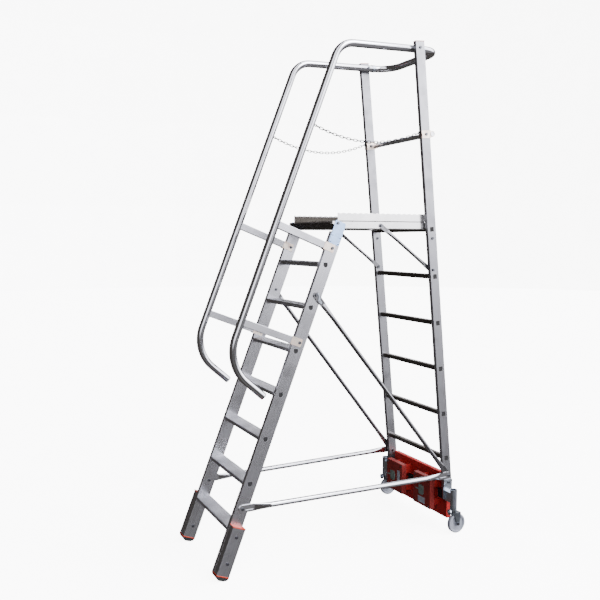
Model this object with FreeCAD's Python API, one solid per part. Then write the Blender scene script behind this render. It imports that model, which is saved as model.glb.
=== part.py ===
import FreeCAD, Part
import math
import os

from FreeCAD import Placement, Rotation, Vector

# Rolling platform ladder. Millimetres. X runs across the ladder, +Y is the way the climber faces,
# +Z is up. The origin is on the floor, in the middle of the box round the whole ladder.
# "Right" is +X. Most pieces are drawn on the right and mirrored to the left.

# ---------------------------------------------------------------- driving dimensions

# Front ladder: the centre line of its stiles in the side view
FRONT_ANGLE = 68.5
FRONT_FLOOR_Y = -770.4
TREAD_PITCH = 250.0
TREAD_COUNT = 7
FIRST_TREAD = 267.0
TREAD_HOLE_OFFSET = -4.0
FRONT_OUTER = 270.0
FRONT_STILE = (27.0, 75.0)
FRONT_STILE_TOP = 1950.0
STILE_WALL = 2.0
STILE_CORNER = 1.5
TREAD_TUBE_WIDTH = 29.0
RUNG_WALL = 1.4

# Rear frame: the centre line of its stiles in the side view, leaning forward at the top
REAR_ANGLE = 84.4
REAR_FLOOR_Y = 748.2
REAR_OUTER = 304.8
REAR_STILE = (25.0, 60.0)
REAR_STILE_SPAN = (190.0, 2920.0)
RUNG_PITCH = 280.0
PLATFORM_RUNG = 1853.0
RUNG_COUNT = 5
RUNG_SIZE = 28.0

# Feet
SLEEVE_WIDTH = 45.0
SLEEVE_TOP = 288.0
FOOT_CUT = 31.2
RIM_THICKNESS = 4.8
PAD_CORNER = 26.0
PAD_CENTRE = 30.9

# Platform
DECK_Z = 1884.0
DECK_THICKNESS = 3.0
BEAM_HEIGHT = 42.0
BEAM_WIDTH = 25.0
DECK_FRONT_Y = -82.0
DECK_REAR_Y = 541.0
TOE_BOARD_HEIGHT = 48.0
TOE_BOARD_FRONT_Y = -50.0

# Guard rails
RAIL_RADIUS = 20.5
RAIL_WALL = 2.0
RAIL_OFFSET = -362.0
RAIL_LOW_CORNER = 1078.0
RAIL_HIGH_CORNER = 2923.0
RAIL_LOW_BEND = 215.0
RAIL_HIGH_BEND = 130.0
RAIL_TIP_LENGTH = 281.0
RAIL_TIP_ANGLE = -41.5
RAIL_TOP_ANGLE = 2.4
RAIL_END_Y = 509.5
COLLAR_LENGTH = 22.0
REAR_GUARD_DEPTH = 132.0
REAR_GUARD_BEND = 118.0
BAR_HEIGHT = 40.0
BAR_POSITIONS = (1316.0, 1866.0)
KNEE_RAIL_POSITION = 2401.0
KNEE_RAIL_RADIUS = 14.0
SCALLOP_PITCH = 37.0
SCALLOP_RADIUS = 24.0
SCALLOP_DEPTH = 3.5
SEAM_HEIGHT = 5.0

# Braces: bolt positions along the front or rear stile
LONG_BRACE_FRONT = 1591.0
LOWER_BRACE_FRONT = 381.0
BRACES_REAR = 346.0
STAY_BOLT_Y = 231.5
STAY_REAR = 1614.0
STAY_REAR_OFFSET = -10.0
LUG_THICKNESS = 6.0
CATCH_PIVOT = 38.0

# Rear beam and ballast
BEAM_Y = (733.0, 765.0)
BEAM_Z = (57.0, 333.0)
BEAM_SHEET = 4.0
WINDOW_Z = (165.0, 228.0)
BALLAST_X = (62.0, 236.0)
BALLAST_Y = (637.0, 673.0)
BALLAST_Z = (112.0, 310.0)

# Castors
CASTOR_X = 368.0
CASTOR_Y = 713.5
CASTOR_TRAIL = 23.0
WHEEL_RADIUS = 60.0
WHEEL_WIDTH = 26.0
AXLE_RADIUS = 6.0
SOCKET_Z = (143.0, 272.0)
SOCKET_RADIUS = 21.2
STEM_RADIUS = 12.0
RUNNING_FIT = 0.05

# Chains
CHAIN_WIRE = 4.2
CHAIN_WIDTH = 16.5
CHAIN_COUNT = 31
CHAIN_SAG = 70.0
CHAIN_PLAY = 0.25
CHAIN_Z = 2396.0
EYE_RADIUS = 6.0
EYE_WIRE = 2.0
EYE_SHANK = 2.5

# Fasteners
BOLT_RADIUS = 4.0
HEAD_ACROSS_FLATS = 13.0
HEAD_HEIGHT = 5.3
WASHER = (8.5, 1.5)

# Positions that follow from the ones above
FRONT_INNER = FRONT_OUTER - FRONT_STILE[0]
REAR_INNER = REAR_OUTER - REAR_STILE[0]
SLEEVE_OUTER = FRONT_OUTER + SLEEVE_WIDTH
RAIL_X = REAR_INNER - RAIL_RADIUS
BEAM_BOTTOM = DECK_Z - BEAM_HEIGHT
TOP = Vector(0, 0, 1)
ACROSS = Vector(1, 0, 0)
FRONT = Placement(Vector(0, FRONT_FLOOR_Y, 0), Rotation(ACROSS, FRONT_ANGLE - 90.0))
REAR = Placement(Vector(0, REAR_FLOOR_Y, 0), Rotation(ACROSS, 90.0 - REAR_ANGLE))


# ---------------------------------------------------------------- helpers

def box(x, y, z):
    """A box between the low and high values of each axis."""
    return Part.makeBox(x[1] - x[0], y[1] - y[0], z[1] - z[0], Vector(x[0], y[0], z[0]))


def rod(start, end, radius):
    """A round bar from one point to another."""
    axis = end - start
    return Part.makeCylinder(radius, axis.Length, start, axis)


def rod_x(x, y, z, radius):
    """A round bar along X."""
    return rod(Vector(x[0], y, z), Vector(x[1], y, z), radius)


def slab(outline, x):
    """A (y, z) outline made into a plate along X."""
    corners = [Vector(x[0], y, z) for y, z in outline]
    face = Part.Face(Part.makePolygon(corners + corners[:1]))
    return face.extrude(Vector(x[1] - x[0], 0, 0))


def round_along(shape, direction, radius):
    """Rounds the straight edges of a shape that run along a direction."""
    edges = []
    for edge in shape.Edges:
        run = edge.Vertexes[-1].Point - edge.Vertexes[0].Point
        if run.Length > 0 and abs(run.normalize().dot(direction)) > 0.999:
            edges.append(edge)
    return shape.makeFillet(radius, edges)


def box_tube(x, y, z, wall, radius):
    """A rectangular tube along Z with rounded corners."""
    outer = round_along(box(x, y, z), TOP, radius)
    hollow = box((x[0] + wall, x[1] - wall), (y[0] + wall, y[1] - wall), z)
    return outer.cut(hollow)


def placed(shape, frame):
    """The shape moved from a frame's own coordinates to the ladder's."""
    return shape.transformed(frame.toMatrix(), True)


def on_line(frame, offset, along, x=0.0):
    """The point at a distance along a frame's line and an offset behind it."""
    return frame.multVec(Vector(x, offset, along))


def mirrored(shape):
    return shape.mirror(Vector(0, 0, 0), ACROSS)


def both_sides(shapes):
    """A group of the right-hand solids and their mirror images."""
    return Part.makeCompound(shapes + [mirrored(shape) for shape in shapes])


def group(shapes):
    return Part.makeCompound(shapes)


def bent_path(points, radii):
    """A wire of straight runs joined by tangent arcs at the inner points."""
    edges = []
    start = points[0]
    for index, radius in enumerate(radii, start=1):
        corner = points[index]
        back = (points[index - 1] - corner).normalize()
        ahead = (points[index + 1] - corner).normalize()
        half = back.getAngle(ahead) / 2.0
        reach = radius / math.tan(half)
        middle = (back + ahead).normalize() * (radius / math.sin(half) - radius)
        arc_start = corner + back * reach
        arc_end = corner + ahead * reach
        edges.append(Part.makeLine(start, arc_start))
        edges.append(Part.Arc(arc_start, corner + middle, arc_end).toShape())
        start = arc_end
    edges.append(Part.makeLine(start, points[-1]))
    return Part.Wire(edges)


def sweep(path, radius):
    """A round bar along a path."""
    first = path.Edges[0]
    start = first.Vertexes[0].Point
    ring = Part.Wire(Part.makeCircle(radius, start, first.tangentAt(first.FirstParameter)))
    return path.makePipeShell([ring], True, False)


def bent_tube(points, radii, radius, wall):
    path = bent_path(points, radii)
    return sweep(path, radius).cut(sweep(path, radius - wall))


def hexagon(x, y, z, across_flats):
    """A hexagonal prism along X."""
    reach = across_flats / math.sqrt(3.0)
    turns = [math.radians(60.0 * corner) for corner in range(6)]
    outline = [(y + reach * math.cos(turn), z + reach * math.sin(turn)) for turn in turns]
    return slab(outline, x)


def bolt(point, head_x, nut_x):
    """A hexagon bolt along X with two washers and a nut. Its head is outside head_x."""
    way = 1.0 if head_x > nut_x else -1.0
    y, z = point.y, point.z
    solid = rod_x((nut_x - way * (HEAD_HEIGHT + 3.0), head_x), y, z, BOLT_RADIUS)
    for face, outwards in ((head_x, way), (nut_x, -way)):
        washer_end = face + outwards * WASHER[1]
        head_end = washer_end + outwards * HEAD_HEIGHT
        solid = solid.fuse(rod_x(sorted((face, washer_end)), y, z, WASHER[0]))
        solid = solid.fuse(hexagon(sorted((washer_end, head_end)), y, z, HEAD_ACROSS_FLATS))
    return solid.removeSplitter()


def front_point(along, offset=0.0):
    return on_line(FRONT, offset, along)


def rear_point(along, offset=0.0):
    return on_line(REAR, offset, along)


def tread_centre(index):
    return front_point(FIRST_TREAD + index * TREAD_PITCH, TREAD_HOLE_OFFSET)


# ---------------------------------------------------------------- front ladder

def d_outline(centre, grow):
    """The D section of a tread's tube: flat on top and round below, in the plane X = 0."""
    half = TREAD_TUBE_WIDTH / 2.0 + grow
    top = centre.z + 14.0 + grow
    spring = centre.z - 1.0
    left = Vector(0, centre.y - half, spring)
    right = Vector(0, centre.y + half, spring)
    left_top = Vector(0, left.y, top)
    right_top = Vector(0, right.y, top)
    bottom = Vector(0, centre.y, spring - half)
    edges = [
        Part.makeLine(left, left_top),
        Part.makeLine(left_top, right_top),
        Part.makeLine(right_top, right),
        Part.Arc(right, bottom, left).toShape(),
    ]
    return Part.Face(Part.Wire(edges))


def d_bar(centre, x, grow=0.0):
    face = d_outline(centre, grow)
    face.translate(Vector(x[0], 0, 0))
    return face.extrude(Vector(x[1] - x[0], 0, 0))


def front_stile():
    depth = FRONT_STILE[1] / 2.0
    tube = box_tube((FRONT_INNER, FRONT_OUTER), (-depth, depth), (FOOT_CUT, FRONT_STILE_TOP), STILE_WALL,
                    STILE_CORNER)
    tube = placed(tube, FRONT)
    for index in range(TREAD_COUNT):
        tube = tube.cut(d_bar(tread_centre(index), (FRONT_INNER - 1, FRONT_OUTER + 1)))
    return tube


def tread(index):
    """A flat ribbed step with a lip at the front, on a D tube that runs through both stiles."""
    centre = tread_centre(index)
    top = centre.z + 14.0
    front = centre.y - 34.0
    back = centre.y + 46.0
    span = (-FRONT_INNER, FRONT_INNER)
    outline = [
        (front, top - 20.0), (front, top - 2.0), (front + 2.0, top), (back, top), (back, top - 10.0),
        (back - 2.5, top - 10.0), (back - 2.5, top - 2.5), (front + 2.5, top - 2.5), (front + 2.5, top - 20.0),
    ]
    step = slab(outline, span)
    rib_count = 11
    for rib in range(rib_count):
        rib_y = front + 6.0 + rib * 6.8
        step = step.fuse(box(span, (rib_y, rib_y + 2.0), (top - 0.5, top + 0.7)))
    step = step.fuse(d_bar(centre, (-FRONT_OUTER, FRONT_OUTER)))
    return step.cut(d_bar(centre, (-FRONT_OUTER, FRONT_OUTER), -RUNG_WALL)).removeSplitter()


def tread_plug(index):
    """The plug just inside the outer end of a tread's tube."""
    return d_bar(tread_centre(index), (FRONT_OUTER - 11.0, FRONT_OUTER - 1.0), -RUNG_WALL)


def stile_plug():
    """The plug in the open top of a front stile."""
    depth = FRONT_STILE[1] / 2.0
    x = (FRONT_INNER, FRONT_OUTER)
    cap = round_along(box(x, (-depth, depth), (FRONT_STILE_TOP, FRONT_STILE_TOP + 3.0)), TOP, 2.5)
    inside = box((x[0] + STILE_WALL, x[1] - STILE_WALL), (STILE_WALL - depth, depth - STILE_WALL),
                 (FRONT_STILE_TOP - 14.0, FRONT_STILE_TOP))
    return placed(cap.fuse(inside), FRONT)


def hinge_pivot_point():
    return front_point(2007.0, -18.0)


def hinge_plate():
    plate = box((FRONT_OUTER, FRONT_OUTER + 4.0), (-35.0, 33.0), (1889.0, 2022.0))
    return placed(round_along(plate, ACROSS, 8.0), FRONT)


def hinge_pivot():
    """The bolt that a platform beam turns on, with a nut inside the beam."""
    return bolt(hinge_pivot_point(), FRONT_OUTER + 4.0, FRONT_OUTER - 3.0)


def hinge_rivets():
    rivets = []
    for along in (1900.0, 1936.0):
        for offset in (-27.0, 25.0):
            shank = rod(Vector(FRONT_OUTER - 5.0, offset, along), Vector(FRONT_OUTER + 4.0, offset, along), 2.4)
            head = Part.makeSphere(6.0, Vector(FRONT_OUTER + 1.0, offset, along))
            head = head.common(box((FRONT_OUTER + 4.0, FRONT_OUTER + 9.0), (offset - 6, offset + 6),
                                   (along - 6, along + 6)))
            rivets.append(placed(shank.fuse(head), FRONT))
    return rivets


# ---------------------------------------------------------------- feet

def foot_sleeve():
    depth = FRONT_STILE[1] / 2.0
    tube = box_tube((FRONT_OUTER, SLEEVE_OUTER), (-depth, depth), (FOOT_CUT, SLEEVE_TOP), 2.5, 4.0)
    return placed(tube, FRONT)


def sleeve_cap():
    depth = FRONT_STILE[1] / 2.0
    lid = box((FRONT_OUTER, SLEEVE_OUTER + 1.0), (-depth - 1.0, depth + 1.0), (SLEEVE_TOP, SLEEVE_TOP + 4.0))
    inside = box((FRONT_OUTER + 2.5, SLEEVE_OUTER - 2.5), (2.5 - depth, depth - 2.5),
                 (SLEEVE_TOP - 12.0, SLEEVE_TOP))
    return placed(lid.fuse(inside), FRONT)


def foot_rim():
    """The plastic flange between the cut tubes and the rubber pad."""
    depth = FRONT_STILE[1] / 2.0 + 1.0
    rim = box((FRONT_INNER - 1.0, SLEEVE_OUTER + 1.0), (-depth, depth), (FOOT_CUT - RIM_THICKNESS, FOOT_CUT))
    return placed(round_along(rim, TOP, 4.0), FRONT)


def foot_pad():
    """The rubber pad with rounded lower corners, flat where it stands on the floor."""
    top = FOOT_CUT - RIM_THICKNESS
    half = FRONT_STILE[1] / 2.0
    x = (FRONT_INNER + 1.0, SLEEVE_OUTER - 1.0)
    reach = half - PAD_CORNER
    low = PAD_CENTRE - PAD_CORNER
    pad = box(x, (-reach, reach), (low, top))
    for centre in (-reach, reach):
        pad = pad.fuse(rod_x(x, centre, PAD_CENTRE, PAD_CORNER))
    pad = pad.common(box(x, (-half, half), (low - 1.0, top)))
    floor = box((x[0] - 1, x[1] + 1), (-900.0, -600.0), (0.0, 100.0))
    return placed(pad, FRONT).common(floor).removeSplitter()


# ---------------------------------------------------------------- guard rails

def rail_points():
    """The corners of the handrail's line, in the side view."""
    low = on_line(FRONT, RAIL_OFFSET, RAIL_LOW_CORNER, RAIL_X)
    high = on_line(FRONT, RAIL_OFFSET, RAIL_HIGH_CORNER, RAIL_X)
    tip_turn = math.radians(RAIL_TIP_ANGLE)
    tip = low + Vector(0, math.cos(tip_turn), math.sin(tip_turn)) * RAIL_TIP_LENGTH
    slope = math.tan(math.radians(RAIL_TOP_ANGLE))
    end = Vector(RAIL_X, RAIL_END_Y, high.z + (RAIL_END_Y - high.y) * slope)
    return [tip, low, high, end]


def rail_top_frame():
    """A frame at the middle of the two rail ends, with Y along the top of the rails."""
    end = rail_points()[-1]
    return Placement(Vector(0, end.y, end.z), Rotation(ACROSS, RAIL_TOP_ANGLE))


def handrail():
    return bent_tube(rail_points(), [RAIL_LOW_BEND, RAIL_HIGH_BEND], RAIL_RADIUS, RAIL_WALL)


def rail_plug():
    tip, low = rail_points()[:2]
    way = (tip - low).normalize()
    inside = rod(tip - way * 15.0, tip, RAIL_RADIUS - RAIL_WALL)
    head = rod(tip, tip + way * 4.0, RAIL_RADIUS)
    return inside.fuse(head)


def rear_guard_tube():
    """The bow behind the platform that plugs the two handrails together."""
    points = [
        Vector(RAIL_X, 0, 0),
        Vector(RAIL_X, REAR_GUARD_DEPTH, 0),
        Vector(-RAIL_X, REAR_GUARD_DEPTH, 0),
        Vector(-RAIL_X, 0, 0),
    ]
    tube = bent_tube(points, [REAR_GUARD_BEND, REAR_GUARD_BEND], RAIL_RADIUS, RAIL_WALL)
    return placed(tube, rail_top_frame())


def guard_collar():
    start = Vector(RAIL_X, -COLLAR_LENGTH / 2.0, 0)
    end = Vector(RAIL_X, COLLAR_LENGTH / 2.0, 0)
    ring = rod(start, end, RAIL_RADIUS + 1.6).cut(rod(start, end, RAIL_RADIUS))
    return placed(ring, rail_top_frame())


def rail_bar(along):
    """A tube from the front stile's bracket to the handrail, coped onto it."""
    x = (FRONT_INNER, FRONT_OUTER)
    half = BAR_HEIGHT / 2.0
    y = (RAIL_OFFSET, -FRONT_STILE[1] / 2.0 - 3.5)
    z = (along - half, along + half)
    bar = round_along(box(x, y, z), Vector(0, 1, 0), 2.5)
    bar = bar.cut(box((x[0] + 2, x[1] - 2), y, (z[0] + 2, z[1] - 2)))
    rail = rod(Vector(RAIL_X, RAIL_OFFSET, z[0] - 5), Vector(RAIL_X, RAIL_OFFSET, z[1] + 5), RAIL_RADIUS)
    front_of_rail = box((x[0] - 1, x[1] + 1), (RAIL_OFFSET - 1, RAIL_OFFSET + 6), (z[0] - 1, z[1] + 1))
    return placed(bar.cut(rail).cut(front_of_rail), FRONT)


def rail_bracket(along):
    """A folded plate that straddles the stile and holds the end of a bar."""
    sheet = 3.0
    half = BAR_HEIGHT / 2.0 + 2.5
    z = (along - half, along + half)
    face = -FRONT_STILE[1] / 2.0
    shape = box((FRONT_INNER, FRONT_OUTER), (face - 3.5, face), z)
    for x in ((FRONT_INNER - sheet, FRONT_INNER), (FRONT_OUTER, FRONT_OUTER + sheet)):
        shape = shape.fuse(box(x, (face - 14.5, 13.0), z))
    return placed(shape.removeSplitter(), FRONT)


def knee_rail():
    """A tube across the rear stiles, closed at both ends."""
    reach = REAR_OUTER + 6.0
    offset = REAR_STILE[1] / 2.0 + KNEE_RAIL_RADIUS
    start = Vector(-reach, offset, KNEE_RAIL_POSITION)
    end = Vector(reach, offset, KNEE_RAIL_POSITION)
    tube = rod(start, end, KNEE_RAIL_RADIUS).cut(rod(start, end, KNEE_RAIL_RADIUS - 2.0))
    for way, tip in ((ACROSS, start), (ACROSS * -1.0, end)):
        tube = tube.fuse(rod(tip + way * 1.5, tip + way * 4.5, KNEE_RAIL_RADIUS - 2.0))
    drain = rod(Vector(0, offset, KNEE_RAIL_POSITION), Vector(0, offset, KNEE_RAIL_POSITION - 20.0), 2.5)
    return placed(tube.removeSplitter().cut(drain), REAR)


def knee_rail_bracket(x):
    """A plate on one face of a rear stile, with an eye round the knee rail."""
    depth = REAR_STILE[1] / 2.0
    centre = depth + KNEE_RAIL_RADIUS
    z = (KNEE_RAIL_POSITION - 22.0, KNEE_RAIL_POSITION + 22.0)
    plate = box(x, (-depth, depth + 4.0), z)
    eye = rod_x(x, centre, KNEE_RAIL_POSITION, KNEE_RAIL_RADIUS + 3.5)
    bore = rod_x((x[0] - 1, x[1] + 1), centre, KNEE_RAIL_POSITION, KNEE_RAIL_RADIUS)
    return placed(plate.fuse(eye).cut(bore).removeSplitter(), REAR)


# ---------------------------------------------------------------- platform

def beam_outline():
    """The side view of a platform beam, with a slanted nose and a notch over the rear rung."""
    rung = rear_point(PLATFORM_RUNG)
    notch = RUNG_SIZE / 2.0 + 1.2
    rear = rung.y + 18.0
    return [
        (DECK_FRONT_Y, DECK_Z), (DECK_FRONT_Y, DECK_Z - 12.0), (DECK_FRONT_Y + 50.0, BEAM_BOTTOM),
        (rung.y - notch, BEAM_BOTTOM), (rung.y - notch, rung.z + notch),
        (rung.y + notch, rung.z + notch), (rung.y + notch, BEAM_BOTTOM),
        (rear, BEAM_BOTTOM), (rear, DECK_Z),
    ]


def on_lower_corner(edge):
    """True for the edges along Y at the outer lower corner of a platform beam."""
    centre = edge.CenterOfMass
    along_y = abs(edge.Vertexes[0].Y - edge.Vertexes[-1].Y) > 100.0
    return along_y and abs(centre.x - FRONT_OUTER) < 0.1 and abs(centre.z - BEAM_BOTTOM) < 0.1


def platform_beam():
    """A channel with its web outside, its flanges under the deck and a rounded lower corner."""
    web = 3.0
    inner = FRONT_OUTER - BEAM_WIDTH
    beam = slab(beam_outline(), (inner, FRONT_OUTER))
    corner = [edge for edge in beam.Edges if on_lower_corner(edge)]
    beam = beam.makeFillet(6.0, corner)
    hollow = box((inner - 1, FRONT_OUTER - web), (DECK_FRONT_Y + 4.0, 600.0), (BEAM_BOTTOM + web, DECK_Z - web))
    return beam.cut(hollow)


def cross_members():
    """The rounded front nosing, two joists and the rear channel, all between the beams."""
    inner = FRONT_OUTER - BEAM_WIDTH
    x = (-inner, inner)
    front = DECK_FRONT_Y
    outline = [
        (front, DECK_Z), (front - 6.0, DECK_Z - 4.0), (front - 6.0, DECK_Z - 9.0), (front + 46.0, BEAM_BOTTOM),
        (front + 50.0, BEAM_BOTTOM + 2.5), (front + 2.0, DECK_Z - 8.0), (front + 4.0, DECK_Z - 3.0),
        (front + 40.0, DECK_Z - 3.0), (front + 40.0, DECK_Z),
    ]
    pieces = [slab(outline, x)]
    for y in (110.0, 310.0):
        joist = box(x, (y, y + 40.0), (DECK_Z - 30.0, DECK_Z))
        pieces.append(joist.cut(box(x, (y + 2.0, y + 38.0), (DECK_Z - 28.0, DECK_Z - 2.0))))
    rear = box(x, (DECK_REAR_Y - 30.0, DECK_REAR_Y), (DECK_Z - 38.0, DECK_Z))
    pieces.append(rear.cut(box(x, (DECK_REAR_Y - 27.0, DECK_REAR_Y), (DECK_Z - 35.0, DECK_Z - 3.0))))
    return group(pieces)


def platform_deck():
    """The walking plate, with short raised bars in a chequer on its top."""
    half = FRONT_OUTER - 3.5
    plate = box((-half, half), (DECK_FRONT_Y, DECK_REAR_Y), (DECK_Z, DECK_Z + DECK_THICKNESS))
    bars = []
    rows = 17
    columns = 12
    for row in range(rows):
        for column in range(columns):
            x = -half + 25.0 + column * 43.0 + (row % 2) * 21.5
            y = DECK_FRONT_Y + 24.0 + row * 36.0
            turn = 45.0 if (row + column) % 2 else -45.0
            bar = box((-11.0, 11.0), (-2.0, 2.0), (0.0, 1.2))
            bars.append(placed(bar, Placement(Vector(x, y, DECK_Z + DECK_THICKNESS), Rotation(TOP, turn))))
    return plate.fuse(bars).removeSplitter()


def toe_board():
    """An upright board beside the deck, with scallops along its top and a groove outside its foot."""
    x = (FRONT_OUTER - 3.5, FRONT_OUTER)
    y = (TOE_BOARD_FRONT_Y, DECK_REAR_Y)
    top = DECK_Z + TOE_BOARD_HEIGHT
    board = box(x, y, (DECK_Z, top))
    board = board.cut(box((x[1] - 1.8, x[1] + 1), y, (DECK_Z, DECK_Z + SEAM_HEIGHT)))
    centre_z = top - SCALLOP_DEPTH + SCALLOP_RADIUS
    count = int((y[1] - y[0]) / SCALLOP_PITCH)
    for index in range(count):
        centre = y[0] + (index + 0.5) * SCALLOP_PITCH
        board = board.cut(rod_x((x[0] - 1, x[1] + 1), centre, centre_z, SCALLOP_RADIUS))
    return board


# ---------------------------------------------------------------- rear frame

def rung(along, reach=REAR_OUTER):
    half = RUNG_SIZE / 2.0
    outer = box((-reach, reach), (-half, half), (along - half, along + half))
    outer = round_along(outer, ACROSS, 5.0)
    return placed(outer.cut(rung_hollow((-reach, reach), along)), REAR)


def rung_hollow(x, along):
    half = RUNG_SIZE / 2.0 - RUNG_WALL
    return round_along(box(x, (-half, half), (along - half, along + half)), ACROSS, 5.0 - RUNG_WALL)


def rung_plug(along):
    """The plug just inside the outer end of a rung."""
    return placed(rung_hollow((REAR_OUTER - 11.0, REAR_OUTER - 1.0), along), REAR)


def rung_positions():
    return [PLATFORM_RUNG - RUNG_PITCH * index for index in range(RUNG_COUNT + 1)]


def rear_stile():
    depth = REAR_STILE[1] / 2.0
    half = RUNG_SIZE / 2.0
    tube = box_tube((REAR_INNER, REAR_OUTER), (-depth, depth), REAR_STILE_SPAN, STILE_WALL, STILE_CORNER)
    for along in rung_positions():
        hole = box((REAR_INNER - 1, REAR_OUTER + 1), (-half, half), (along - half, along + half))
        tube = tube.cut(round_along(hole, ACROSS, 5.0))
    return placed(tube, REAR)


def rear_stile_cap():
    depth = REAR_STILE[1] / 2.0
    top = REAR_STILE_SPAN[1]
    lid = box((REAR_INNER - 0.8, REAR_OUTER + 0.8), (-depth - 0.8, depth + 0.8), (top, top + 4.0))
    inside = box((REAR_INNER + STILE_WALL, REAR_OUTER - STILE_WALL), (STILE_WALL - depth, depth - STILE_WALL),
                 (top - 14.0, top))
    return placed(round_along(lid, TOP, 2.5).fuse(inside), REAR)


def brace(start, end, start_x, end_x, radius, lug_width, lug_length, thickness):
    """A tube with flattened, grooved ends, in a frame whose Z runs from its first bolt to its second."""
    run = end - start
    length = run.Length
    taper = 1.4 * lug_length
    half = lug_width / 2.0
    low = lug_length
    high = length - lug_length

    def section(x, z, flat):
        centre = Vector(x, 0, z)
        if not flat:
            return Part.Wire(Part.makeCircle(radius, centre, TOP))
        tip = centre + Vector(0, half, 0)
        side = centre + Vector(-thickness / 2.0, 0, 0)
        return Part.Wire(Part.Ellipse(tip, side, centre).toShape())

    def round_section(x, z, size):
        return Part.Wire(Part.makeCircle(size, Vector(x, 0, z), TOP))

    def lug(x, z_bolt, z_inner):
        sides = (x - thickness / 2.0, x + thickness / 2.0)
        plate = box(sides, (-half, half), sorted((z_bolt, z_inner)))
        return plate.fuse(rod_x(sides, 0, z_bolt, half))

    shape = lug(start_x, 0.0, low + 2.0).fuse(lug(end_x, length, high - 2.0))
    tube_low, tube_high = low + taper, high - taper
    drift = (end_x - start_x) / length
    low_x = start_x + drift * tube_low
    high_x = start_x + drift * tube_high
    shape = shape.fuse(Part.makeLoft([section(start_x, low, True), section(low_x, tube_low, False)], True, True))
    shape = shape.fuse(Part.makeLoft([section(end_x, high, True), section(high_x, tube_high, False)], True, True))
    shape = shape.fuse(Part.makeLoft([round_section(low_x, tube_low, radius),
                                      round_section(high_x, tube_high, radius)], True, True))
    hollow = Part.makeLoft([round_section(low_x, tube_low, radius - 1.5),
                            round_section(high_x, tube_high, radius - 1.5)], True, True)
    drain = rod(Vector(high_x, 0, tube_high - 30.0), Vector(high_x, radius + 2.0, tube_high - 30.0), 2.5)
    for x, ends in ((start_x, (18.0, low - 5.0)), (end_x, (high + 5.0, length - 18.0))):
        face = x + thickness / 2.0
        trough = box((face - 0.4 * thickness, face + 10.0), (-0.2 * lug_width, 0.2 * lug_width), ends)
        shape = shape.cut(trough)
    return shape.cut(hollow).cut(drain)


def brace_frame(start, end):
    """A frame at the first bolt, with Z towards the second bolt and X across the ladder."""
    run = end - start
    turn = math.degrees(math.atan2(-run.y, run.z))
    return Placement(Vector(0, start.y, start.z), Rotation(ACROSS, turn))


def long_brace_ends():
    return front_point(LONG_BRACE_FRONT), rear_point(BRACES_REAR)


def lower_brace_ends():
    return front_point(LOWER_BRACE_FRONT), rear_point(BRACES_REAR)


def stay_ends():
    top = Vector(0, STAY_BOLT_Y, (DECK_Z + BEAM_BOTTOM) / 2.0)
    return top, rear_point(STAY_REAR, STAY_REAR_OFFSET)


def long_brace():
    """The brace that keeps the front ladder out. A slot under its front bolt lets it be lifted off."""
    start, end = long_brace_ends()
    half = LUG_THICKNESS / 2.0
    shape = brace(start, end, FRONT_OUTER + half, REAR_OUTER + half, 12.5, 34.0, 68.0, LUG_THICKNESS)
    slot = box((FRONT_OUTER - 1, FRONT_OUTER + LUG_THICKNESS + 1), (-20.0, 0.0),
               (-BOLT_RADIUS - 0.3, BOLT_RADIUS + 0.3))
    shape = shape.cut(slot)
    catch_pin = rod_x((FRONT_OUTER + LUG_THICKNESS, FRONT_OUTER + LUG_THICKNESS + 5.0), 4.0, CATCH_PIVOT, 3.0)
    return placed(shape.fuse(catch_pin), brace_frame(start, end))


def brace_catch():
    """The sprung catch that closes the slot. Its nose stands across the slot's mouth."""
    start, end = long_brace_ends()
    x = (FRONT_OUTER + LUG_THICKNESS + 0.4, FRONT_OUTER + LUG_THICKNESS + 3.4)
    outline = [
        (8.0, CATCH_PIVOT + 19.0), (11.0, CATCH_PIVOT + 4.0), (11.0, CATCH_PIVOT - 6.0), (1.0, 22.0),
        (-10.0, 13.0), (-10.0, -6.0), (-17.0, -6.0), (-17.0, 15.0), (-9.0, 26.0), (-3.0, CATCH_PIVOT - 4.0),
        (-3.0, CATCH_PIVOT + 5.0), (1.0, CATCH_PIVOT + 19.0),
    ]
    plate = slab(outline, x)
    bore = rod_x((x[0] - 1, x[1] + 1), 4.0, CATCH_PIVOT, 3.0 + RUNNING_FIT)
    return placed(plate.cut(bore), brace_frame(start, end))


def lower_brace():
    start, end = lower_brace_ends()
    half = LUG_THICKNESS / 2.0
    rear_x = REAR_OUTER + LUG_THICKNESS + half
    shape = brace(start, end, FRONT_OUTER + half, rear_x, 15.0, 40.0, 68.0, LUG_THICKNESS)
    return placed(shape, brace_frame(start, end))


def short_stay():
    start, end = stay_ends()
    thickness = 4.5
    rear_x = REAR_INNER - thickness / 2.0
    shape = brace(start, end, FRONT_OUTER + thickness / 2.0, rear_x, 9.5, 25.0, 55.0, thickness)
    return placed(shape, brace_frame(start, end))


# ---------------------------------------------------------------- rear beam and ballast

def rear_beam():
    """A folded sheet box between the rear stiles, with three windows in its front."""
    x = (-REAR_INNER, REAR_INNER)
    shape = round_along(box(x, BEAM_Y, BEAM_Z), ACROSS, 5.0)
    hollow = box((x[0] + BEAM_SHEET, x[1] - BEAM_SHEET), (BEAM_Y[0] + BEAM_SHEET, BEAM_Y[1] - BEAM_SHEET),
                 (BEAM_Z[0] + BEAM_SHEET, BEAM_Z[1] - BEAM_SHEET))
    shape = shape.cut(hollow)
    for window in ((-262.0, -184.0), (-130.0, 130.0), (184.0, 262.0)):
        shape = shape.cut(box(window, (BEAM_Y[0] - 1, BEAM_Y[0] + BEAM_SHEET + 1), WINDOW_Z))
    return shape


def ballast_block():
    block = box(BALLAST_X, BALLAST_Y, BALLAST_Z)
    return block.makeFillet(4.0, block.Edges)


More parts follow.
